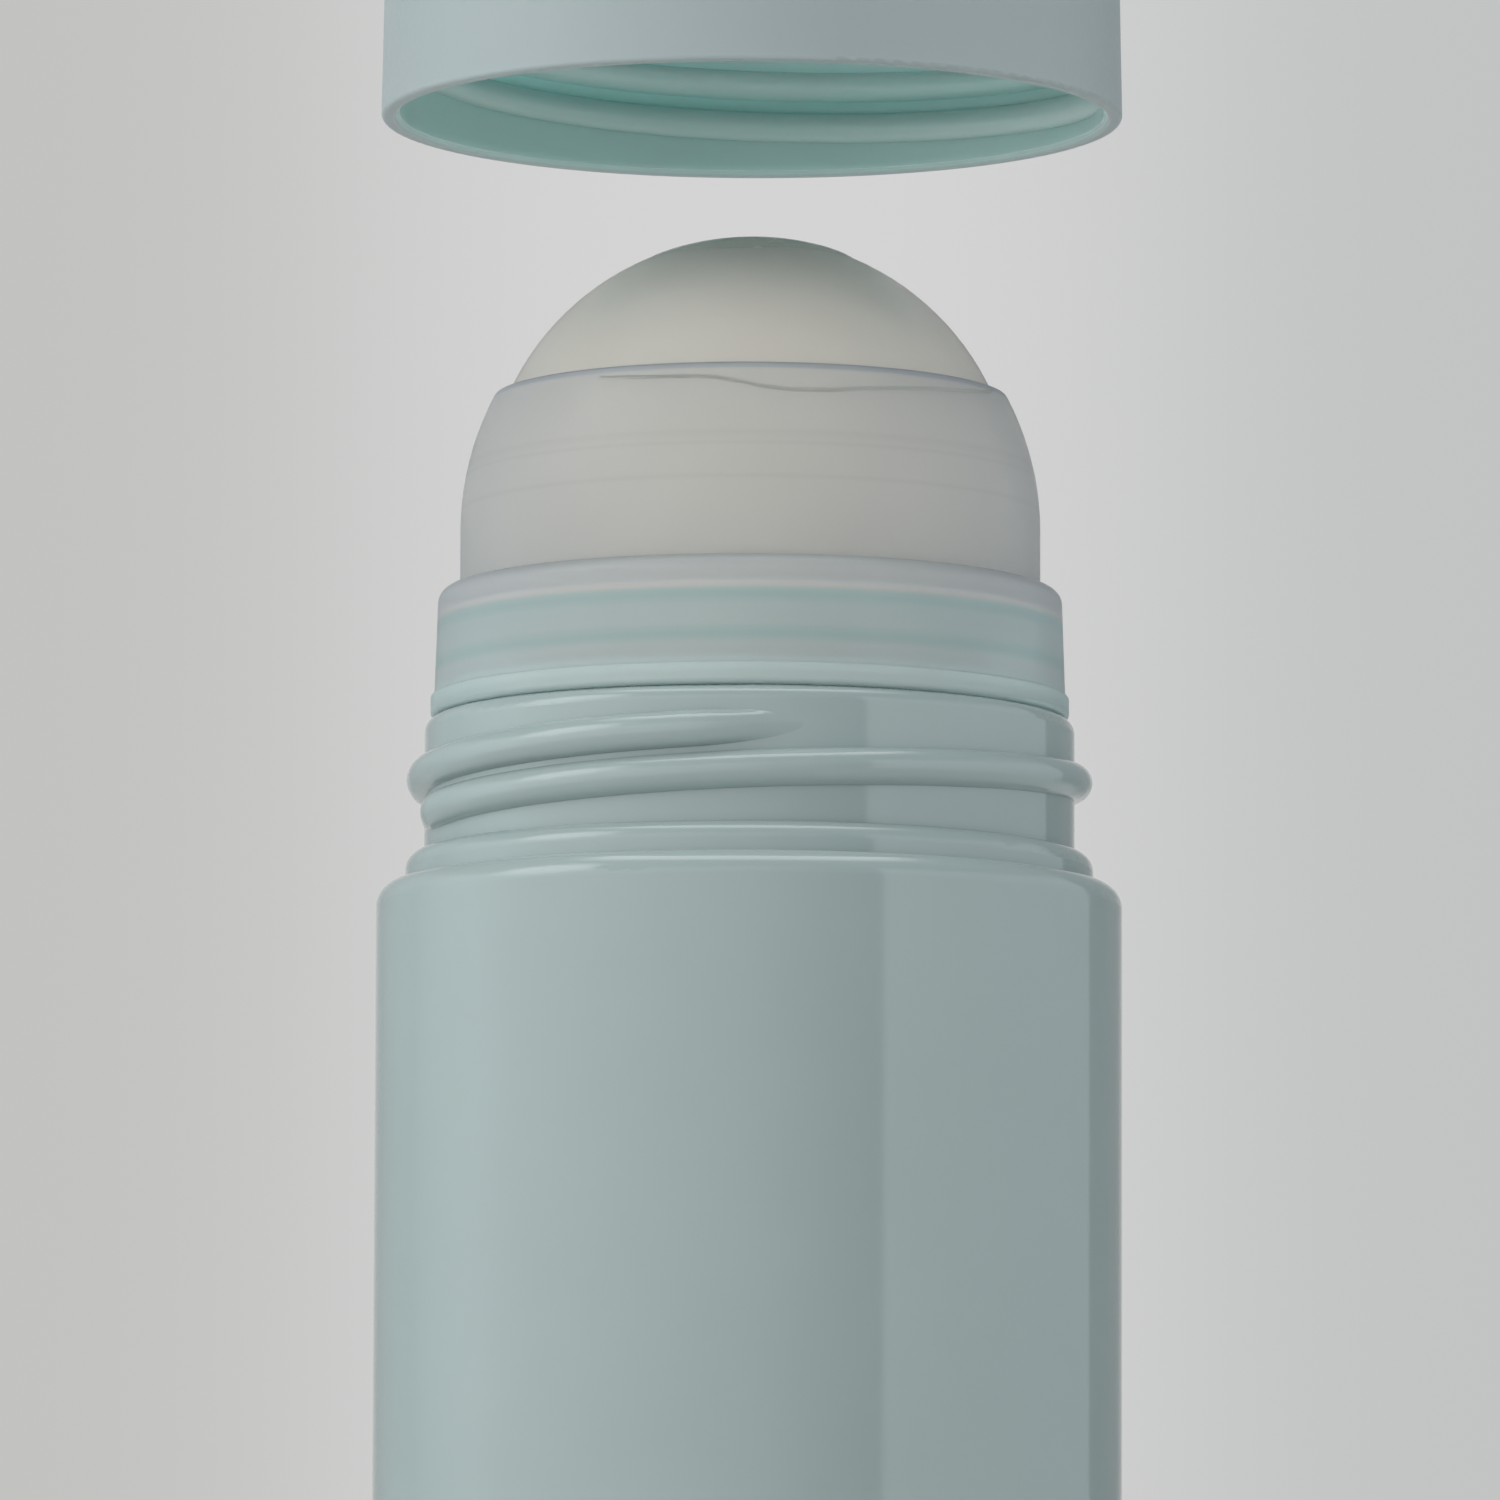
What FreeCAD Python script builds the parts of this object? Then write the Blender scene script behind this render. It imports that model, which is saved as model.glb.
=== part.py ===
import FreeCAD, Part
import math
import os
import Sketcher

# Roll-on bottle with its screw cap lifted off.
# Millimetres. +Z is up, the Z axis is the bottle's axis and z = 0 is the table.
# Seen from the front (along +Y), +X is to the right.

doc = FreeCAD.newDocument("roll_on_bottle")
sheet = doc.addObject("Spreadsheet::Sheet", "sizes")

# Sizes that are set by themselves. Radii grow outwards from the ball by named steps.
driving_sizes = {
    # ball and its housing
    "ballDiameter": 28.6,
    "ballWall": 1.4,
    "ballPlay": 0.15,
    "ballRise": 11.75,
    "cupWall": 1.15,
    "throatRadius": 9.0,
    "throatLength": 1.2,
    "domeDrop": 1.55,
    "lipRise": 5.75,
    "lipEdge": 0.22,
    "skirtHeight": 7.0,
    "skirtStep": 1.15,
    "skirtFlare": 0.2,
    "skirtWall": 1.5,
    "skirtRoof": 1.3,
    "skirtEdge": 0.8,
    "beadStep": 0.2,
    "beadHeight": 1.2,
    "beadRound": 0.35,
    "beadEdge": 0.15,
    "ledgeThickness": 0.9,
    "plugDepth": 4.9,
    "plugWall": 1.2,
    "plugPlay": 0.05,
    "plugLead": 0.5,
    "ribGrip": 0.1,
    "ribWidth": 0.6,
    "ribSpacing": 1.8,
    # bottle
    "shoulderHeight": 58.0,
    "shoulderEdge": 1.3,
    "bodyWall": 1.4,
    "innerRound": 1.2,
    "baseWall": 1.6,
    "baseRound": 1.8,
    "footWidth": 2.4,
    "pushUp": 0.9,
    "neckReveal": 0.3,
    "neckHeight": 8.9,
    "neckWall": 2.15,
    "neckRound": 0.8,
    "collarStep": 1.0,
    "collarHeight": 1.65,
    "collarEdge": 0.95,
    # two-start thread, on the neck and in the cap
    "threadPitch": 2.28,
    "threadDepth": 0.95,
    "threadGrip": 0.28,
    "threadTopDrop": 2.1,
    "threadTopAngle": -79.0,
    "neckRidgeSweep": 281.0,
    "neckRidgeGap": 0.34,
    "capRidgeSweep": 340.0,
    "capRidgeGap": 0.78,
    "capRidgeClear": 0.25,
    "ridgeRoot": 0.3,
    "ridgeCover": 0.05,
    "runOut": 22.0,
    # cap and the pad in its roof
    "capClearance": 0.6,
    "capWall": 1.0,
    "capRoof": 1.2,
    "capTaper": 0.65,
    "capRimGap": 0.3,
    "capRimRound": 0.25,
    "capMouthChamfer": 0.3,
    "capTopRound": 1.6,
    "capRoofRound": 1.0,
    "capLift": 41.2,
    "padRadius": 8.0,
    "padFlange": 0.8,
    "padProud": 0.3,
    "padRound": 0.3,
    "padGap": 0.15,
    "padPlay": 0.1,
    "ringWall": 1.0,
    "ringGrip": 0.3,
    "ringBead": 0.5,
}

# Sizes that follow from those above
derived_sizes = {
    # radii, from the ball outwards
    "ballRadius": "ballDiameter / 2",
    "ballHollow": "ballRadius - ballWall",
    "socketRadius": "ballRadius + ballPlay",
    "domeRadius": "socketRadius + cupWall",
    "skirtTopRadius": "domeRadius + skirtStep",
    "skirtFootRadius": "skirtTopRadius + skirtFlare",
    "skirtInside": "skirtTopRadius - skirtWall",
    "beadRadius": "skirtFootRadius + beadStep",
    "neckRadius": "beadRadius + neckReveal",
    "neckBore": "neckRadius - neckWall",
    "plugRadius": "neckBore - plugPlay",
    "plugInside": "plugRadius - plugWall",
    "plugTip": "plugRadius - plugLead",
    "ribRadius": "neckBore + ribGrip",
    "collarRadius": "neckRadius + collarStep",
    "threadCrest": "neckRadius + threadDepth",
    "capMouth": "threadCrest + capClearance",
    "bodyRadius": "capMouth + capWall",
    "bodyInside": "bodyRadius - bodyWall",
    "footInside": "bodyRadius - baseRound - footWidth",
    "pushUpRadius": "footInside - pushUp",
    "capTopRadius": "bodyRadius - capTaper",
    "capRoofRadius": "capTopRadius - capWall",
    "ringInside": "padRadius + padPlay",
    "ringOutside": "ringInside + ringWall",
    "ringBeadRadius": "padRadius - ringGrip",
    "padBoss": "ringBeadRadius - padPlay",
    # heights, from the table up
    "floorHeight": "pushUp + baseWall",
    "shoulderUnder": "shoulderHeight - bodyWall",
    "collarTop": "shoulderHeight + collarHeight",
    "neckTop": "shoulderHeight + neckHeight",
    "plugFoot": "neckTop - plugDepth",
    "plugLeadTop": "plugFoot + plugLead",
    "beadTop": "neckTop + beadHeight",
    "ledgeTop": "neckTop + ledgeThickness",
    "skirtTop": "neckTop + skirtHeight",
    "skirtUnder": "skirtTop - skirtRoof",
    "ballCentre": "neckTop + ballRise",
    "ballTop": "ballCentre + ballRadius",
    "domeCentre": "ballCentre - domeDrop",
    "lipTop": "ballCentre + lipRise",
    "throatTop": "ballCentre - sqrt(socketRadius^2 - throatRadius^2)",
    "throatFoot": "throatTop - throatLength",
    # the same cap closed, before it is lifted
    "capRim": "shoulderHeight + capRimGap",
    "padFoot": "ballTop + padGap",
    "ringFoot": "padFoot + padProud",
    "ringBeadTop": "ringFoot + ringBead",
    "padFlangeFoot": "ringBeadTop + padPlay",
    "padTop": "padFlangeFoot + padFlange",
    "roofUnder": "padTop + padPlay",
    "capTop": "roofUnder + capRoof",
    # where the round walls meet flat ones
    "lipOutside": "sqrt(domeRadius^2 - (lipTop - domeCentre)^2)",
    "lipInside": "sqrt(socketRadius^2 - lipRise^2)",
    "cupFootRadius": "sqrt(domeRadius^2 - (ballCentre - throatFoot)^2)",
    "cupTopRadius": "sqrt(domeRadius^2 - (ballCentre - skirtUnder)^2)",
    # rounds, no larger than the step or wall that they are on
    "lipRound": "min(lipEdge; (lipOutside - lipInside) * 0.45)",
    "skirtRound": "min(skirtEdge; skirtStep * 0.8)",
    "beadTopRound": "min(beadEdge; beadStep * 0.8)",
    "shoulderRound": "min(shoulderEdge; (bodyRadius - collarRadius) * 0.85)",
    "collarRound": "min(collarEdge; collarStep * 0.95; collarHeight * 0.9)",
    # thread
    "threadLead": "2 * threadPitch",
    "threadTop": "neckTop - threadTopDrop",
    "neckRidgeFoot": "threadTop - threadLead * neckRidgeSweep / 360",
    "neckRidgeAngle": "threadTopAngle - neckRidgeSweep",
    "neckRidgeWidth": "threadPitch - neckRidgeGap",
    "capRidgeFoot": "collarTop + capRidgeClear",
    "capRidgeAngle": "threadTopAngle + (capRidgeFoot - threadTop - threadPitch / 2) * 360 / threadLead",
    "capRidgeWidth": "threadPitch - capRidgeGap",
    "capTurn": "capLift / threadLead * 360",
}

thread_starts = 2
ridge_step = 7.0


def fill_sheet():
    """Names in column A, values in column B under the same alias."""
    cells = {name: str(value) for name, value in driving_sizes.items()}
    cells.update({name: "=" + formula for name, formula in derived_sizes.items()})
    for row, (name, content) in enumerate(cells.items(), start=1):
        sheet.set(f"A{row}", name)
        sheet.set(f"B{row}", content)
        sheet.setAlias(f"B{row}", name)
    doc.recompute()


def size(name):
    return float(sheet.get(name))


def bind(target, path, name):
    target.setExpression(path, f"sizes.{name}")


def pin_corner(sketch, curve, end, corner):
    """Holds a corner at its radius and height. None means on the axis."""
    radius, height = corner[:2]
    if radius is None:
        sketch.addConstraint(Sketcher.Constraint("PointOnObject", curve, end, -2))
    else:
        across = Sketcher.Constraint("DistanceX", -1, 1, curve, end, size(radius))
        bind(sketch, f"Constraints[{sketch.addConstraint(across)}]", radius)
    if height is None:
        sketch.addConstraint(Sketcher.Constraint("PointOnObject", curve, end, -1))
    else:
        up = Sketcher.Constraint("DistanceY", -1, 1, curve, end, size(height))
        bind(sketch, f"Constraints[{sketch.addConstraint(up)}]", height)


def corner_point(corner):
    radius, height = (0.0 if name is None else size(name) for name in corner[:2])
    return FreeCAD.Vector(radius, height, 0)


def add_arc(sketch, begin, finish, centre_height):
    """An arc about a point on the axis. Returns the curve and which of its ends come first and last."""
    centre = FreeCAD.Vector(0, centre_height, 0)
    turns = [math.atan2(p.y - centre_height, p.x) for p in (begin, finish)]
    middle = sum(turns) / 2
    reach = (begin - centre).Length
    top = centre + FreeCAD.Vector(reach * math.cos(middle), reach * math.sin(middle), 0)
    rising = turns[1] > turns[0]
    low, high = (begin, finish) if rising else (finish, begin)
    curve = sketch.addGeometry(Part.Arc(low, top, high))
    sketch.addConstraint(Sketcher.Constraint("PointOnObject", curve, 3, -2))
    return curve, (1, 2) if rising else (2, 1)


def add_outline(sketch, corners):
    """A closed outline. A corner with a third name is reached by an arc about that height on the axis."""
    pieces = []
    for before, corner in zip(corners[-1:] + corners[:-1], corners):
        begin, finish = corner_point(before), corner_point(corner)
        if len(corner) == 3:
            pieces.append(add_arc(sketch, begin, finish, size(corner[2])))
        else:
            curve = sketch.addGeometry(Part.LineSegment(begin, finish))
            pieces.append((curve, (1, 2)))
    for index, (curve, ends) in enumerate(pieces):
        after, after_ends = pieces[(index + 1) % len(pieces)]
        sketch.addConstraint(Sketcher.Constraint("Coincident", curve, ends[1], after, after_ends[0]))
        pin_corner(sketch, curve, ends[1], corners[index])


def turned_body(name, corners):
    """A PartDesign body turned about the Z axis from its half outline."""
    body = doc.addObject("PartDesign::Body", name)
    sketch = body.newObject("Sketcher::SketchObject", f"{name}_outline")
    plane = next(f for f in body.Origin.OriginFeatures if f.Role == "XZ_Plane")
    sketch.AttachmentSupport = (plane, [""])
    sketch.MapMode = "FlatFace"
    add_outline(sketch, corners)
    turned = body.newObject("PartDesign::Revolution", f"{name}_turned")
    turned.Profile = sketch
    turned.ReferenceAxis = (sketch, ["V_Axis"])
    turned.Angle = 360
    doc.recompute()
    return body


def edge_at(shape, corner):
    """The name of the round edge at a corner of the outline."""
    place = corner_point(corner)
    for number, edge in enumerate(shape.Edges, start=1):
        if isinstance(edge.Curve, Part.Circle):
            off = abs(edge.Curve.Radius - place.x) + abs(edge.Curve.Center.z - place.y)
            if off < 0.001:
                return f"Edge{number}"
    raise RuntimeError(f"no edge at {corner}")


def soften(body, kind, radius, corners):
    """Rounds (Fillet) or bevels (Chamfer) the edges at some corners of a turned body."""
    base = body.Tip
    edges = [edge_at(base.Shape, corner) for corner in corners]
    feature = body.newObject(f"PartDesign::{kind}", radius)
    feature.Base = (base, edges)
    bind(feature, "Radius" if kind == "Fillet" else "Size", radius)
    doc.recompute()


def ridge_section(angle, height, foot, apex, width):
    """One slice of a ridge, in the plane through the axis at that angle: a flat foot and a round crest."""
    outward = FreeCAD.Vector(math.cos(math.radians(angle)), math.sin(math.radians(angle)), 0)
    rise = FreeCAD.Vector(0, 0, 1)
    below = outward * foot + rise * (height - width / 2)
    crest = outward * apex + rise * height
    above = outward * foot + rise * (height + width / 2)
    return Part.Wire([Part.Arc(below, crest, above).toShape(), Part.makeLine(above, below)])


def thread_ridges(name, wall, inward):
    """One ridge for each start, faded into the wall at both of its ends."""
    sweep = size(f"{name}Sweep")
    side = -1 if inward else 1
    foot = size(wall) - side * size("ridgeRoot")
    buried = size(wall) - side * size("ridgeCover")
    full = size("threadCrest") - (size("threadGrip") if inward else 0)
    count = math.ceil(sweep / ridge_step)
    slices = []
    for number in range(count + 1):
        turned = sweep * number / count
        grown = min(1.0, turned / size("runOut"), (sweep - turned) / size("runOut"))
        eased = grown * grown * (3 - 2 * grown)
        angle = size(f"{name}Angle") + turned
        height = size(f"{name}Foot") + size("threadLead") * turned / 360
        apex = buried + (full - buried) * eased
        slices.append(ridge_section(angle, height, foot, apex, size(f"{name}Width")))
    first = Part.makeLoft(slices, True, False)
    ridges = []
    for start in range(thread_starts):
        ridge = doc.addObject("Part::Feature", f"{name}_{start + 1}")
        turned = first.copy()
        turned.rotate(FreeCAD.Vector(0, 0, 0), FreeCAD.Vector(0, 0, 1), start * 360 / thread_starts)
        ridge.Shape = turned
        ridges.append(ridge)
    return ridges


def joined(name, pieces):
    whole = doc.addObject("Part::MultiFuse", name)
    whole.Shapes = pieces
    doc.recompute()
    return whole


def make_bottle():
    blank = turned_body(
        "bottle_blank",
        [
            (None, "pushUp"),
            ("pushUpRadius", "pushUp"),
            ("footInside", None),
            ("bodyRadius", None),
            ("bodyRadius", "shoulderHeight"),
            ("collarRadius", "shoulderHeight"),
            ("collarRadius", "collarTop"),
            ("neckRadius", "collarTop"),
            ("neckRadius", "neckTop"),
            ("neckBore", "neckTop"),
            ("neckBore", "shoulderUnder"),
            ("bodyInside", "shoulderUnder"),
            ("bodyInside", "floorHeight"),
            (None, "floorHeight"),
        ],
    )
    soften(blank, "Fillet", "baseRound", [("bodyRadius", None)])
    soften(blank, "Fillet", "shoulderRound", [("bodyRadius", "shoulderHeight")])
    soften(blank, "Fillet", "collarRound", [("collarRadius", "collarTop")])
    soften(blank, "Fillet", "neckRound", [("neckRadius", "neckTop")])
    soften(blank, "Fillet", "innerRound", [("bodyInside", "shoulderUnder"), ("bodyInside", "floorHeight")])
    return joined("bottle", [blank] + thread_ridges("neckRidge", "neckRadius", inward=False))


def make_housing():
    blank = turned_body(
        "housing_blank",
        [
            ("plugTip", "plugFoot"),
            ("plugRadius", "plugLeadTop"),
            ("plugRadius", "neckTop"),
            ("beadRadius", "neckTop"),
            ("beadRadius", "beadTop"),
            ("skirtFootRadius", "beadTop"),
            ("skirtTopRadius", "skirtTop"),
            ("domeRadius", "skirtTop"),
            ("domeRadius", "domeCentre"),
            ("lipOutside", "lipTop", "domeCentre"),
            ("lipInside", "lipTop"),
            ("throatRadius", "throatTop", "ballCentre"),
            ("throatRadius", "throatFoot"),
            ("cupFootRadius", "throatFoot"),
            ("cupTopRadius", "skirtUnder", "ballCentre"),
            ("skirtInside", "skirtUnder"),
            ("skirtInside", "ledgeTop"),
            ("plugInside", "ledgeTop"),
            ("plugInside", "plugFoot"),
        ],
    )
    soften(blank, "Fillet", "lipRound", [("lipOutside", "lipTop"), ("lipInside", "lipTop")])
    soften(blank, "Fillet", "skirtRound", [("skirtTopRadius", "skirtTop")])
    soften(blank, "Fillet", "beadRound", [("beadRadius", "neckTop")])
    soften(blank, "Fillet", "beadTopRound", [("beadRadius", "beadTop")])
    ribs = []
    for number in (1, 2):
        rib = doc.addObject("Part::Torus", f"plug_rib_{number}")
        bind(rib, "Radius2", "ribWidth / 2")
        bind(rib, "Radius1", "ribRadius - sizes.ribWidth / 2")
        bind(rib, "Placement.Base.z", f"neckTop - {number} * sizes.ribSpacing")
        ribs.append(rib)
    return joined("ball_housing", [blank] + ribs)


def make_ball():
    outside = doc.addObject("Part::Sphere", "ball_outside")
    bind(outside, "Radius", "ballRadius")
    bind(outside, "Placement.Base.z", "ballCentre")
    hollow = doc.addObject("Part::Sphere", "ball_hollow")
    bind(hollow, "Radius", "ballHollow")
    bind(hollow, "Placement.Base.z", "ballCentre")
    ball = doc.addObject("Part::Cut", "roller_ball")
    ball.Base = outside
    ball.Tool = hollow
    return ball


def make_pad():
    pad = turned_body(
        "seal_pad",
        [
            (None, "padFoot"),
            ("padBoss", "padFoot"),
            ("padBoss", "padFlangeFoot"),
            ("padRadius", "padFlangeFoot"),
            ("padRadius", "padTop"),
            (None, "padTop"),
        ],
    )
    soften(pad, "Fillet", "padRound", [("padBoss", "padFoot"), ("padRadius", "padTop")])
    bind(pad, "Placement.Base.z", "capLift")
    return pad


def make_cap():
    blank = turned_body(
        "cap_blank",
        [
            ("capMouth", "capRim"),
            ("bodyRadius", "capRim"),
            ("capTopRadius", "capTop"),
            (None, "capTop"),
            (None, "roofUnder"),
            ("ringInside", "roofUnder"),
            ("ringInside", "ringBeadTop"),
            ("ringBeadRadius", "ringBeadTop"),
            ("ringBeadRadius", "ringFoot"),
            ("ringOutside", "ringFoot"),
            ("ringOutside", "roofUnder"),
            ("capRoofRadius", "roofUnder"),
        ],
    )
    soften(blank, "Fillet", "capTopRound", [("capTopRadius", "capTop")])
    soften(blank, "Fillet", "capRoofRound", [("capRoofRadius", "roofUnder")])
    soften(blank, "Fillet", "capRimRound", [("bodyRadius", "capRim")])
    soften(blank, "Chamfer", "capMouthChamfer", [("capMouth", "capRim")])
    cap = joined("cap", [blank] + thread_ridges("capRidge", "capMouth", inward=True))
    # lifted off, and turned as far as the thread turns it on the way
    bind(cap, "Placement.Base.z", "capLift")
    bind(cap, "Placement.Rotation.Angle", "capTurn")
    return cap


def write_parts(pieces):
    doc.recompute()
    for thing in doc.Objects:
        if "Invalid" in thing.State or "Error" in thing.State:
            raise RuntimeError(f"{thing.Label} failed: {thing.State}")
    for piece in pieces:
        shape = piece.Shape
        if shape.isNull() or not shape.isValid() or len(shape.Solids) != 1:
            raise RuntimeError(f"{piece.Label} is not one valid solid")
    os.makedirs("parts", exist_ok=True)
    for piece in pieces:
        piece.Shape.exportStep(f"parts/{piece.Label}.step")
        box = piece.Shape.BoundBox
        print(f"{piece.Label}: {piece.Shape.Volume / 1000:.2f} ml, z {box.ZMin:.2f} to {box.ZMax:.2f}")


fill_sheet()
write_parts([make_bottle(), make_housing(), make_ball(), make_pad(), make_cap()])
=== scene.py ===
import bpy
import math
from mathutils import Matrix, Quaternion, Vector


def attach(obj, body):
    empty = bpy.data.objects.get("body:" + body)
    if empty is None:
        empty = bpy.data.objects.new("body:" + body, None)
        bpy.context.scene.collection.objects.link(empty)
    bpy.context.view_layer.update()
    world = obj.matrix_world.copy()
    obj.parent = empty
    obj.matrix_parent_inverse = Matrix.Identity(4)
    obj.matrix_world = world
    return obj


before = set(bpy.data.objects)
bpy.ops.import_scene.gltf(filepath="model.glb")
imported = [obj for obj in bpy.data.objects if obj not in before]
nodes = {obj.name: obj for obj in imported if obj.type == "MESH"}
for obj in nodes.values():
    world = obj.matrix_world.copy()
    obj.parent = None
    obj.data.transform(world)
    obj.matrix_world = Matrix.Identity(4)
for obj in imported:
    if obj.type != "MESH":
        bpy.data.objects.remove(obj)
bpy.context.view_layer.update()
print("frame loaded:", ", ".join(sorted(nodes)))

mm = 0.001
polypropyleneIndex = 1.49
edgeShadeBlend = 0.7            # how far in from the edge of the view the painted edge shade reaches
noiseLow, noiseHigh = 0.3, 0.7  # nearly all of a noise lies between these
softEnds = {"clamp": True, "interpolation_type": "SMOOTHSTEP"}
hardEnds = {"clamp": True}


def linearColour(code):
    parts = [int(code[i:i + 2], 16) / 255 for i in (1, 3, 5)]
    return tuple(p / 12.92 if p <= 0.04045 else ((p + 0.055) / 1.055) ** 2.4 for p in parts) + (1.0,)


def addNode(tree, kind, settings=None, inputs=None):
    node = tree.nodes.new(kind)
    for name, value in (settings or {}).items():
        setattr(node, name, value)
    for name, value in (inputs or {}).items():
        if isinstance(value, bpy.types.NodeSocket):
            tree.links.new(value, node.inputs[name])
        else:
            node.inputs[name].default_value = value
    return node


def newMaterial(name):
    material = bpy.data.materials.new(name)
    material.use_nodes = True
    tree = material.node_tree
    tree.nodes.clear()
    return material, tree, addNode(tree, "ShaderNodeTexCoord").outputs["Object"]


def mathOf(tree, operation, first, second=None):
    inputs = {0: first} if second is None else {0: first, 1: second}
    return addNode(tree, "ShaderNodeMath", {"operation": operation}, inputs).outputs[0]


# size in mm, how far apart the patches of the noise are
def noiseOf(tree, place, size, detail):
    return addNode(tree, "ShaderNodeTexNoise", None,
                   {"Vector": place, "Scale": 1 / (size * mm), "Detail": detail}).outputs["Fac"]


def rangeOf(tree, value, start, stop, first=0.0, last=1.0, settings=None):
    return addNode(tree, "ShaderNodeMapRange", settings,
                   {"Value": value, "From Min": start, "From Max": stop, "To Min": first,
                    "To Max": last}).outputs[0]


def spreadOver(tree, noise, ends):
    return rangeOf(tree, noise, noiseLow, noiseHigh, ends[0], ends[1])


def mixOf(tree, share, first, second, kind="MIX"):
    return addNode(tree, "ShaderNodeMix", {"data_type": "RGBA", "blend_type": kind},
                   {0: share, 6: first, 7: second}).outputs[2]


# stops are pairs of a position from 0 to 1 and a linear colour
def rampOf(tree, share, stops):
    node = addNode(tree, "ShaderNodeValToRGB", None, {"Fac": share})
    elements = node.color_ramp.elements
    while len(elements) < len(stops):
        elements.new(0.5)
    for element, (position, colour) in zip(elements, stops):
        element.position = position
    for element, (position, colour) in zip(elements, stops):
        element.color = colour
    return node.outputs["Color"]


# colours by height; low, high and the layers' heights are in mm
def layersOf(tree, height, low, high, layers):
    share = rangeOf(tree, height, low * mm, high * mm, 0.0, 1.0, hardEnds)
    return rampOf(tree, share, [((level - low) / (high - low), linearColour(tint)) for level, tint in layers])


# painted shade: the colour darkens towards the edge of the view, for the longer way the light goes through the wall
# there
def paintEdgeShade(tree, colour, tint):
    edge = addNode(tree, "ShaderNodeLayerWeight", None, {"Blend": edgeShadeBlend})
    return mixOf(tree, edge.outputs["Facing"], colour, linearColour(tint), "MULTIPLY")


def hazeOf(tree, look):
    return addNode(tree, "ShaderNodeVolumeAbsorption", None,
                   {"Color": linearColour(look["haze"]), "Density": look["hazeDensity"]}).outputs[0]


def principled(tree, inputs, volume=None):
    shader = addNode(tree, "ShaderNodeBsdfPrincipled", None, inputs)
    ends = {"Surface": shader.outputs[0]}
    if volume is not None:
        ends["Volume"] = volume
    addNode(tree, "ShaderNodeOutputMaterial", None, ends)


def dress(piece, material):
    piece.data.materials.clear()
    piece.data.materials.append(material)


def selectOnly(piece):
    if bpy.context.object and bpy.context.object.mode != "OBJECT":
        bpy.ops.object.mode_set(mode="OBJECT")
    bpy.ops.object.select_all(action="DESELECT")
    piece.select_set(True)
    bpy.context.view_layer.objects.active = piece


def turnOutwards(piece):
    selectOnly(piece)
    bpy.ops.object.mode_set(mode="EDIT")
    bpy.ops.mesh.select_all(action="SELECT")
    bpy.ops.mesh.normals_make_consistent(inside=False)
    bpy.ops.object.mode_set(mode="OBJECT")


# gives an open skin a wall on its inner side, in mm
def thicken(piece, thickness):
    selectOnly(piece)
    wall = piece.modifiers.new("wall", "SOLIDIFY")
    wall.thickness = thickness * mm
    wall.offset = -1
    bpy.ops.object.modifier_apply(modifier=wall.name)


# Bottle: polypropylene, blow moulded in a polished mould, so it is glossy with a faint waviness
bottleLook = {
    "mint": "#9fafae",
    "mintDeep": "#9babaa",
    "roughness": (0.06, 0.1),
    "waveSize": 7.0,           # mm, the slow waviness of a blown wall
    "waveBump": (0.05, 0.05),  # strength and height in mm
    "speckSize": 0.6,          # mm, drawn coarser than the real grain so that it shows
    "glow": 0.06,              # share of light that goes into the wall
    "glowTint": (0.7, 1.0, 0.95),
    "glowDepth": 0.4,          # mm
}


def glossPolypropylene():
    material, tree, place = newMaterial("polypropylene_mint_gloss")
    cloud = noiseOf(tree, place, bottleLook["waveSize"], 2.0)
    speck = noiseOf(tree, place, bottleLook["speckSize"], 3.0)
    strength, rise = bottleLook["waveBump"]
    wave = addNode(tree, "ShaderNodeBump", None,
                   {"Height": cloud, "Strength": strength, "Distance": rise * mm})
    colour = mixOf(tree, cloud, linearColour(bottleLook["mint"]), linearColour(bottleLook["mintDeep"]))
    principled(tree, {"Base Color": colour, "Roughness": spreadOver(tree, speck, bottleLook["roughness"]),
                      "Normal": wave.outputs[0], "IOR": polypropyleneIndex,
                      "Subsurface Weight": bottleLook["glow"], "Subsurface Radius": bottleLook["glowTint"],
                      "Subsurface Scale": bottleLook["glowDepth"] * mm})
    return material


dress(nodes["bottle"], glossPolypropylene())
print("bottle dressed")


# Cap: the same polypropylene, injection moulded in an eroded mould, so it is satin outside and smooth inside
capLook = {
    "mint": "#a3afb0",
    "mintDeep": "#9facad",
    "cloudSize": 9.0,          # mm
    # painted light: the real cap is one colour, but inside, the wall is painted paler and more teal by height, for
    # light that comes through it; height in mm and the colour there
    "paintedInsideLight": [(99.5, "#bad3d0"), (102.3, "#bad5d2"), (103.4, "#b7dcd9"), (105.0, "#dcf1ef"),
                    (107.5, "#cfe5e3")],
    "insideRadius": 19.25,     # mm, between the mouth's inner edge and the outer wall
    "insideTop": 136.7,        # mm, in the middle of the roof
    "insideSoft": (0.15, 0.1),  # mm, half width of the change at the wall and at the roof
    "glow": (0.35, 1.0),       # share of light that goes into the wall, outside and inside
    "glowTint": (0.88, 1.0, 0.98),
    "glowDepth": 1.4,          # mm
    "roughness": (0.42, 0.52),
    "insideRoughness": 0.27,
    "grainSize": 0.35,         # mm, the eroded grain is about 0.1 mm and is drawn coarser so that it shows
    "grainBump": (0.12, 0.02),  # strength and height in mm
}


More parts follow.
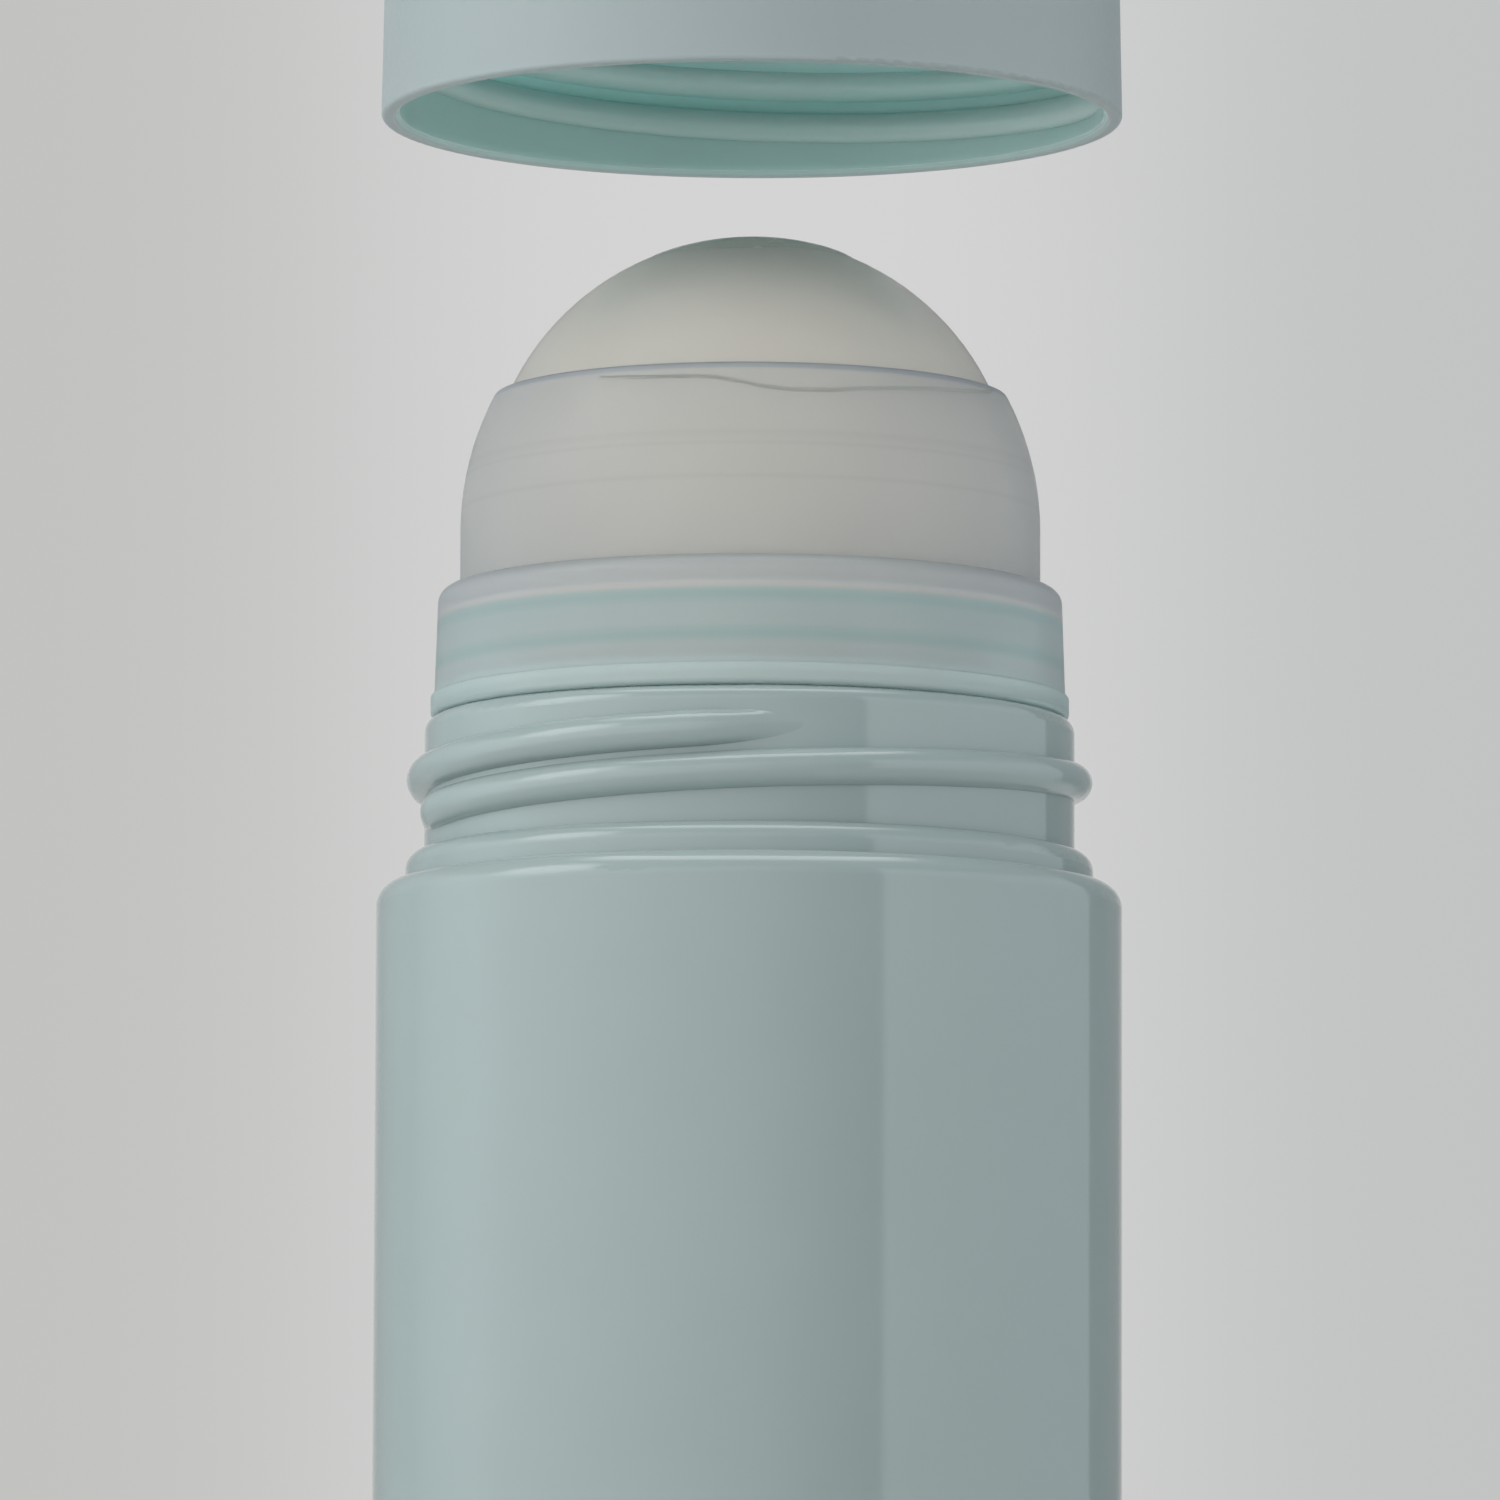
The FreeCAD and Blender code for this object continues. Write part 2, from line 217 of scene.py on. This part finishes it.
def satinPolypropylene():
    material, tree, place = newMaterial("polypropylene_mint_satin")
    grain = noiseOf(tree, place, capLook["grainSize"], 2.0)
    cloud = noiseOf(tree, place, capLook["cloudSize"], 2.0)
    outside = mixOf(tree, cloud, linearColour(capLook["mint"]), linearColour(capLook["mintDeep"]))
    # distance from the axis and height tell the inside from the outside
    parts = addNode(tree, "ShaderNodeSeparateXYZ", None, {"Vector": place})
    flat = addNode(tree, "ShaderNodeCombineXYZ", None,
                   {"X": parts.outputs["X"], "Y": parts.outputs["Y"]})
    radius = addNode(tree, "ShaderNodeVectorMath", {"operation": "LENGTH"}, {0: flat.outputs[0]})
    atWall, atRoof = capLook["insideSoft"]
    edge, roof = capLook["insideRadius"], capLook["insideTop"]
    inside = rangeOf(tree, radius.outputs["Value"], (edge - atWall) * mm, (edge + atWall) * mm, 1.0, 0.0, hardEnds)
    under = rangeOf(tree, parts.outputs["Z"], (roof - atRoof) * mm, (roof + atRoof) * mm, 1.0, 0.0, hardEnds)
    hollow = mathOf(tree, "MULTIPLY", inside, under)
    # painted light inside the cap: paler teal layers by height, for light coming through the wall
    litLayers = capLook["paintedInsideLight"]
    paintedLight = layersOf(tree, parts.outputs["Z"], litLayers[0][0], litLayers[-1][0], litLayers)
    colour = mixOf(tree, hollow, outside, paintedLight)
    low, high = capLook["glow"]
    glow = rangeOf(tree, hollow, 0.0, 1.0, low, high)
    rough = addNode(tree, "ShaderNodeMix", None,
                    {0: hollow, 2: spreadOver(tree, grain, capLook["roughness"]),
                     3: capLook["insideRoughness"]})
    strength, rise = capLook["grainBump"]
    bump = addNode(tree, "ShaderNodeBump", None,
                   {"Height": grain, "Strength": strength, "Distance": rise * mm})
    principled(tree, {"Base Color": colour, "Roughness": rough.outputs[0],
                      "Normal": bump.outputs[0], "IOR": polypropyleneIndex,
                      "Subsurface Weight": glow, "Subsurface Radius": capLook["glowTint"],
                      "Subsurface Scale": capLook["glowDepth"] * mm})
    return material


dress(nodes["cap"], satinPolypropylene())
print("cap dressed")


# Housing: natural polypropylene with no pigment, which lets light through and scatters it;
# painted rings of colour stand for the mint neck and the steps of the wall showing through it softly, with faint
# darker lines on the dome and a bluish band at the lip
housingLook = {
    # height in mm and the colour there
    "paintedSeeThrough": [(64.0, "#e8f5f3"), (66.8, "#dff2ef"), (67.9, "#e2f3f0"), (68.25, "#e6f4f2"), (68.6, "#ebf5f4"),
              (69.1, "#eff8f6"), (69.5, "#dbf0ed"), (69.7, "#dbf0ed"), (70.2, "#eaf6f4"), (71.2, "#e9f5f4"),
              (71.65, "#d8eeec"), (71.95, "#daefed"), (72.2, "#fefaf5"), (72.45, "#f9fcfc"), (73.6, "#f8fbfb"),
              (74.0, "#f8f7f3"), (77.9, "#f8f7f3"), (78.1, "#f2f1ed"), (78.3, "#f8f7f3"), (79.75, "#f8f7f3"),
              (79.9, "#f2f1ed"), (80.05, "#f8f7f3"), (80.5, "#f3f2ee"), (80.7, "#f8f7f3"),
              (84.0, "#f8f7f3"), (84.12, "#dadfe4"), (84.6, "#dadfe4")],
    "lowest": 64.0,
    "highest": 86.0,
    "cloudSize": 5.0,          # mm
    "cloudTint": "#f9f9f9",
    "clearness": (0.45, 0.63),  # share of the light that goes through, in the thick foot and above it
    "foot": (67.9, 68.6),      # mm, where the thick foot ends
    "edgeShade": "#e3e7eb",         # tint of the painted shade at the edges of the view
    "bending": 1.3,            # refraction, less than in clear plastic since the haze hides it
    "roughness": (0.32, 0.4),
    "haze": "#b9c6c6",
    "hazeDensity": 60.0,       # per metre of wall
}


def naturalPolypropylene():
    material, tree, place = newMaterial("polypropylene_natural")
    cloud = noiseOf(tree, place, housingLook["cloudSize"], 3.0)
    height = addNode(tree, "ShaderNodeSeparateXYZ", None, {"Vector": place}).outputs["Z"]
    # painted see-through light: colour bands by height for the neck and the wall showing through
    paintedSeeThrough = layersOf(tree, height, housingLook["lowest"], housingLook["highest"], housingLook["paintedSeeThrough"])
    colour = mixOf(tree, cloud, paintedSeeThrough, linearColour(housingLook["cloudTint"]), "MULTIPLY")
    thick, thin = housingLook["clearness"]
    footLow, footHigh = housingLook["foot"]
    clearness = rangeOf(tree, height, footLow * mm, footHigh * mm, thick, thin, hardEnds)
    # the base colour gets painted shade towards the edges of the view
    principled(tree, {"Base Color": paintEdgeShade(tree, colour, housingLook["edgeShade"]),
                      "Roughness": spreadOver(tree, cloud, housingLook["roughness"]),
                      "IOR": housingLook["bending"], "Transmission Weight": clearness},
               hazeOf(tree, housingLook))
    return material


dress(nodes["ball_housing"], naturalPolypropylene())
print("housing dressed")


# Ball: hollow natural polypropylene, ground round and wet with gel
ballLook = {
    "natural": "#faf8f3",
    "cloudy": "#f8f3eb",
    "cloudSize": 6.0,          # mm
    "clearness": 0.62,         # share of the light that goes through
    "edgeShade": "#f2f4f5",         # tint of the painted shade at the edges of the view
    "bending": 1.18,           # refraction, less than in clear plastic since the haze hides it
    "roughness": (0.28, 0.36),
    "haze": "#b9c6c6",
    "hazeDensity": 45.0,       # per metre of wall
}


def groundPolypropylene():
    material, tree, place = newMaterial("polypropylene_ground_wet")
    cloud = noiseOf(tree, place, ballLook["cloudSize"], 3.0)
    colour = mixOf(tree, cloud, linearColour(ballLook["natural"]), linearColour(ballLook["cloudy"]))
    # the base colour gets painted shade towards the edges of the view
    principled(tree, {"Base Color": paintEdgeShade(tree, colour, ballLook["edgeShade"]),
                      "Roughness": spreadOver(tree, cloud, ballLook["roughness"]),
                      "IOR": ballLook["bending"], "Transmission Weight": ballLook["clearness"]},
               hazeOf(tree, ballLook))
    return material


dress(nodes["roller_ball"], groundPolypropylene())
print("ball dressed")


# Gel: the product left by the ball, a thin milky film on its top and a fine clear bead
# that has dried on the front of the dome
gelLook = {
    "clear": "#f6f9f9",
    "clearRoughness": (0.03, 0.1),
    "clearBending": 1.36,
    "milky": "#f0f6f4",
    "milkyRoughness": (0.2, 0.3),
    "milkyBending": 1.06,      # so thin that it hardly bends the light
    "milkyClearness": 0.9,
    "streakSize": 3.0,         # mm, how far apart the slow streaks are
}


def clearGel():
    material, tree, place = newMaterial("gel_clear_wet")
    streak = noiseOf(tree, place, gelLook["streakSize"], 2.0)
    principled(tree, {"Base Color": linearColour(gelLook["clear"]),
                      "Roughness": spreadOver(tree, streak, gelLook["clearRoughness"]),
                      "IOR": gelLook["clearBending"], "Transmission Weight": 1.0})
    return material


def milkyGel():
    material, tree, place = newMaterial("gel_thin_milky")
    streak = noiseOf(tree, place, gelLook["streakSize"], 3.0)
    principled(tree, {"Base Color": linearColour(gelLook["milky"]),
                      "Roughness": spreadOver(tree, streak, gelLook["milkyRoughness"]),
                      "IOR": gelLook["milkyBending"], "Transmission Weight": gelLook["milkyClearness"]})
    return material


topFilm = {
    "ballRadius": 14.3,        # mm, as the ball itself
    "ballHeight": 78.65,
    "spread": 24.0,            # degrees from the film's middle to its edge
    "edgeWidth": 5.0,          # degrees over which the edge rounds down
    "waves": [(3, 0.7, 0.035), (7, 0.0, 0.02)],  # waves round the edge: how many, phase, share of the spread
    "lean": -0.6,              # degrees, the middle lies a little to the left
    "thin": 0.035,             # mm proud of the ball at the left
    "thick": 0.125,            # mm proud at the right
    "swell": 1.6,              # how late it thickens on the way to the right
    "sunk": 0.05,              # mm, how far its underside lies in the ball's skin
    "settle": 0.002,           # mm, the whole film lies this much lower
}


def layTopFilm(material):
    bpy.ops.object.select_all(action="DESELECT")
    middle = Vector((0, 0, topFilm["ballHeight"] * mm))
    bpy.ops.mesh.primitive_uv_sphere_add(segments=128, ring_count=160, radius=topFilm["ballRadius"] * mm,
                                         location=(0, 0, 0))
    film = bpy.context.object
    film.name = "gel_film_ball"
    # cut off all but the top, tilted a little
    lean, spread = math.radians(topFilm["lean"]), math.radians(topFilm["spread"])
    axis = Vector((math.sin(lean), 0, math.cos(lean)))
    cut = axis * topFilm["ballRadius"] * mm * math.cos(spread)
    bpy.ops.object.mode_set(mode="EDIT")
    bpy.ops.mesh.select_all(action="SELECT")
    bpy.ops.mesh.bisect(plane_co=cut, plane_no=axis, clear_inner=True, use_fill=False)
    bpy.ops.object.mode_set(mode="OBJECT")
    # raise the skin to the film's thickness, with a round edge that is wavy and dips under the ball's skin
    for point in film.data.vertices:
        way = point.co.normalized()
        off = math.degrees(way.angle(axis))
        side = math.atan2(way.y, way.x)
        wavy = 1 + sum(share * math.sin(count * side + phase) for count, phase, share in topFilm["waves"])
        inward = max(0.0, min(1.0, (topFilm["spread"] * wavy - off) / topFilm["edgeWidth"]))
        right = 0.5 + 0.5 * max(-1.0, min(1.0, way.x / math.sin(spread)))
        proud = topFilm["thin"] + (topFilm["thick"] - topFilm["thin"]) * right ** topFilm["swell"]
        rise = proud * math.sqrt(1 - (1 - inward) ** 2) if inward > 0 else -topFilm["sunk"]
        point.co = middle + way * (topFilm["ballRadius"] + rise - topFilm["settle"]) * mm
    thicken(film, topFilm["sunk"] * 2)
    turnOutwards(film)
    bpy.ops.object.shade_smooth()
    dress(film, material)
    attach(film, "ball")


frontBead = {
    "domeRadius": 15.6,        # mm, as the dome itself
    "domeHeight": 77.1,
    "lipTop": 84.3,            # mm
    # degrees round from the right, and how far below the lip the bead runs, in mm
    "drop": [(-127, 0.4), (-120, 0.57), (-112, 0.66), (-104, 0.70), (-98, 0.76), (-93, 1.0), (-87, 1.32),
             (-81, 1.46), (-74, 1.42), (-64, 1.2), (-55, 1.0), (-46, 0.84), (-39, 0.72), (-30, 0.5), (-20, 0.22)],
    "width": 0.22,             # mm
    "proud": 0.07,             # mm
    "sunk": 0.015,             # mm, how far its edges lie in the dome's skin
    "wall": 0.1,               # mm
    "taper": 6,                # its ends thin out over one part in so many
}


def dropAt(degrees):
    route = frontBead["drop"]
    for (a, dropA), (b, dropB) in zip(route, route[1:]):
        if a <= degrees <= b:
            share = (degrees - a) / (b - a)
            return dropA + (dropB - dropA) * share * share * (3 - 2 * share)
    return route[0][1] if degrees < route[0][0] else route[-1][1]


def layFrontBead(material):
    bpy.ops.object.select_all(action="DESELECT")
    bpy.ops.mesh.primitive_grid_add(x_subdivisions=260, y_subdivisions=10, size=2.0, location=(0, 0, 0))
    bead = bpy.context.object
    bead.name = "gel_bead_dome"
    first, last = frontBead["drop"][0][0], frontBead["drop"][-1][0]
    radius, centre, taper = frontBead["domeRadius"], frontBead["domeHeight"], frontBead["taper"]
    # lay the grid along the dome as a narrow round strip
    for point in bead.data.vertices:
        along, across = (point.co.x + 1) / 2, point.co.y
        degrees = first + (last - first) * along
        ends = min(1.0, taper * along, taper * (1 - along))
        height = frontBead["lipTop"] - dropAt(degrees) + across * frontBead["width"] / 2 - centre
        rise = frontBead["proud"] * ends * math.sqrt(max(0.0, 1 - across * across)) - frontBead["sunk"]
        flat = math.sqrt(radius ** 2 - height ** 2)
        turn = math.radians(degrees)
        way = Vector((flat * math.cos(turn), flat * math.sin(turn), height)) / radius
        point.co = (way * (radius + rise) + Vector((0, 0, centre))) * mm
    turnOutwards(bead)
    thicken(bead, frontBead["wall"])
    bpy.ops.object.shade_smooth()
    dress(bead, material)
    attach(bead, "bottle")


layTopFilm(milkyGel())
layFrontBead(clearGel())
print("gel laid")


# Pad: soft white polyethylene
padLook = {
    "white": "#d8dad8",
    "grey": "#d0d3d1",
    "roughness": 0.55,
    "index": 1.51,
    "cellSize": 0.8,           # mm
    "cellBump": (0.2, 0.03),   # strength and height in mm
}


def softPolyethylene():
    material, tree, place = newMaterial("polyethylene_soft_white")
    cloud = noiseOf(tree, place, padLook["cellSize"], 3.0)
    strength, rise = padLook["cellBump"]
    bump = addNode(tree, "ShaderNodeBump", None,
                   {"Height": cloud, "Strength": strength, "Distance": rise * mm})
    colour = mixOf(tree, cloud, linearColour(padLook["white"]), linearColour(padLook["grey"]))
    principled(tree, {"Base Color": colour, "Roughness": padLook["roughness"], "IOR": padLook["index"],
                      "Normal": bump.outputs[0]})
    return material


dress(nodes["seal_pad"], softPolyethylene())
print("pad dressed")


# Floor: a pale sheet under the bottle, fading out at its rim
floorLook = {
    "pale": "#c8c9c7",
    "roughness": 0.8,
    "radius": 0.42,            # m
    "fade": (0.16, 0.4074),    # m from the middle, where the fading starts and ends
}


def paleFloor():
    bpy.ops.object.select_all(action="DESELECT")
    bpy.ops.mesh.primitive_circle_add(vertices=96, radius=floorLook["radius"], fill_type="NGON", location=(0, 0, 0))
    floor = bpy.context.object
    floor.name = "floor"
    material, tree, place = newMaterial("floor_pale_paper")
    away = addNode(tree, "ShaderNodeVectorMath", {"operation": "LENGTH"}, {0: place})
    start, stop = floorLook["fade"]
    fade = rangeOf(tree, away.outputs["Value"], start, stop, 0.0, 1.0, softEnds)
    paper = addNode(tree, "ShaderNodeBsdfPrincipled", None,
                    {"Base Color": linearColour(floorLook["pale"]), "Roughness": floorLook["roughness"]})
    clear = addNode(tree, "ShaderNodeBsdfTransparent")
    mixed = addNode(tree, "ShaderNodeMixShader", None, {0: fade, 1: paper.outputs[0], 2: clear.outputs[0]})
    addNode(tree, "ShaderNodeOutputMaterial", None, {"Surface": mixed.outputs[0]})
    dress(floor, material)


paleFloor()
print("floor laid")


# Studio: soft light from a scrim that wraps round from the left to the front, a board at the right,
# a soft box overhead and a pale grey backdrop with a glow behind the bottle
studio = {
    # degrees round from the camera, minus is left; brightness there; tint
    "round": [(-180, 0.7, "#ffffff"), (-158, 0.35, "#ffffff"), (-125, 0.6, "#f3f8ff"), (-92, 1.75, "#f8fbff"),
              (-60, 1.55, "#ffffff"), (-30, 1.3, "#ffffff"), (0, 1.0, "#ffffff"), (30, 0.3, "#ffffff"),
              (41.5, 0.1, "#ffffff"), (42.5, 1.5, "#f6f9ff"), (90, 1.1, "#f6f9ff"), (129.5, 0.65, "#f4f8ff"),
              (130.5, 0.05, "#ffffff"), (160, 0.28, "#ffffff"), (180, 0.7, "#ffffff")],
    "roundLow": -15,           # degrees of height, the sheets stand between these
    "roundHigh": 26,
    "roundSoft": 11,
    "topFrom": (58, 72),       # degrees of height, where the soft box overhead begins and is full
    "topLevel": 3.2,
    "keyAt": (-72, 34),        # degrees round and of height, the small soft box at the upper left
    "keySize": (6, 22),        # degrees, full brightness inside the first, none outside the second
    "keyLevel": 3.5,
    "elsewhere": 0.2,
    "backdropLeft": "#c2c3c0",
    "backdropRight": "#c2c4c4",
    "backdropTurn": 0.05,      # how far to each side the left tint turns into the right one
    "glow": "#d4d4d4",
    "glowWidth": 0.0364,       # radians, half width of the glow
    "through": 1.75,           # how much brighter the backdrop is through the clear plastic
}


def grey(level):
    return (level, level, level, 1.0)


# what lights the bottle
def lampsOf(tree, way, parts):
    front = mathOf(tree, "MULTIPLY", parts["Y"], -1.0)
    around = mathOf(tree, "ARCTAN2", parts["X"], front)
    share = rangeOf(tree, around, -math.pi, math.pi)
    sheets = rampOf(tree, share, [((degrees + 180) / 360,
                                   [part * level for part in linearColour(tint)[:3]] + [1.0])
                                  for degrees, level, tint in studio["round"]])
    height = mathOf(tree, "ARCSINE", parts["Z"])
    low, high, width = (math.radians(studio[name]) for name in ("roundLow", "roundHigh", "roundSoft"))
    above = rangeOf(tree, height, low - width, low, 0.0, 1.0, softEnds)
    below = rangeOf(tree, height, high, high + width, 1.0, 0.0, softEnds)
    band = mathOf(tree, "MULTIPLY", above, below)
    dim = mixOf(tree, band, grey(studio["elsewhere"]), sheets)
    start, stop = (math.radians(part) for part in studio["topFrom"])
    over = rangeOf(tree, height, start, stop, 0.0, 1.0, softEnds)
    lit = mixOf(tree, over, dim, grey(studio["topLevel"]))
    turn, rise = (math.radians(part) for part in studio["keyAt"])
    keyWay = (math.sin(turn) * math.cos(rise), -math.cos(turn) * math.cos(rise), math.sin(rise))
    near = addNode(tree, "ShaderNodeVectorMath", {"operation": "DOT_PRODUCT"}, {0: way, 1: keyWay})
    inner, outer = (math.cos(math.radians(part)) for part in studio["keySize"])
    spot = rangeOf(tree, near.outputs["Value"], outer, inner, 0.0, 1.0, softEnds)
    return mixOf(tree, spot, lit, grey(studio["keyLevel"]))


# what is seen behind the bottle
def backdropOf(tree, parts):
    behind = mathOf(tree, "ARCTAN2", parts["X"], parts["Y"])
    ratio = mathOf(tree, "DIVIDE", mathOf(tree, "ABSOLUTE", behind), studio["glowWidth"])
    cubed = mathOf(tree, "POWER", ratio, 3.0)
    bell = mathOf(tree, "EXPONENT", mathOf(tree, "MULTIPLY", cubed, -1.0))
    across = rangeOf(tree, parts["X"], -studio["backdropTurn"], studio["backdropTurn"], 0.0, 1.0, hardEnds)
    sides = mixOf(tree, across, linearColour(studio["backdropLeft"]), linearColour(studio["backdropRight"]))
    return mixOf(tree, bell, sides, linearColour(studio["glow"]))


def paleStudio():
    world = bpy.data.worlds.new("studio")
    bpy.context.scene.world = world
    world.use_nodes = True
    tree = world.node_tree
    tree.nodes.clear()
    way = addNode(tree, "ShaderNodeTexCoord").outputs["Generated"]
    parts = addNode(tree, "ShaderNodeSeparateXYZ", None, {"Vector": way}).outputs
    lamps = addNode(tree, "ShaderNodeBackground", None, {"Color": lampsOf(tree, way, parts), "Strength": 1.0})
    path = addNode(tree, "ShaderNodeLightPath").outputs
    lift = rangeOf(tree, path["Is Transmission Ray"], 0.0, 1.0, 1.0, studio["through"])
    backdrop = addNode(tree, "ShaderNodeBackground", None, {"Color": backdropOf(tree, parts), "Strength": lift})
    clear = mathOf(tree, "MAXIMUM", path["Is Camera Ray"], path["Is Transmission Ray"])
    mixed = addNode(tree, "ShaderNodeMixShader", None, {0: clear, 1: lamps.outputs[0], 2: backdrop.outputs[0]})
    addNode(tree, "ShaderNodeOutputWorld", None, {"Surface": mixed.outputs[0]})


paleStudio()
print("studio lit")


# Camera: a long lens a little below the table's level, looking up
view = {
    "eye": (0.00002, -0.660, -0.0087),  # m
    "aim": (0.00002, 0.0, 0.0653),
    "lens": 296.8,             # mm, on a sensor of the next width
    "sensor": 36.0,
    "clip": (0.01, 50.0),      # m
    "roll": 0.2,               # degrees
}


def photoCamera():
    lensData = bpy.data.cameras.new("camera")
    lensData.sensor_width = view["sensor"]
    lensData.lens = view["lens"]
    lensData.clip_start, lensData.clip_end = view["clip"]
    camera = bpy.data.objects.new("camera", lensData)
    bpy.context.scene.collection.objects.link(camera)
    eye, aim = Vector(view["eye"]), Vector(view["aim"])
    camera.location = eye
    camera.rotation_mode = "QUATERNION"
    roll = Quaternion((0, 0, 1), math.radians(view["roll"]))
    camera.rotation_quaternion = (aim - eye).to_track_quat("-Z", "Y") @ roll
    bpy.context.scene.camera = camera


photoCamera()
bpy.context.scene.view_settings.view_transform = "Standard"
print("camera set")
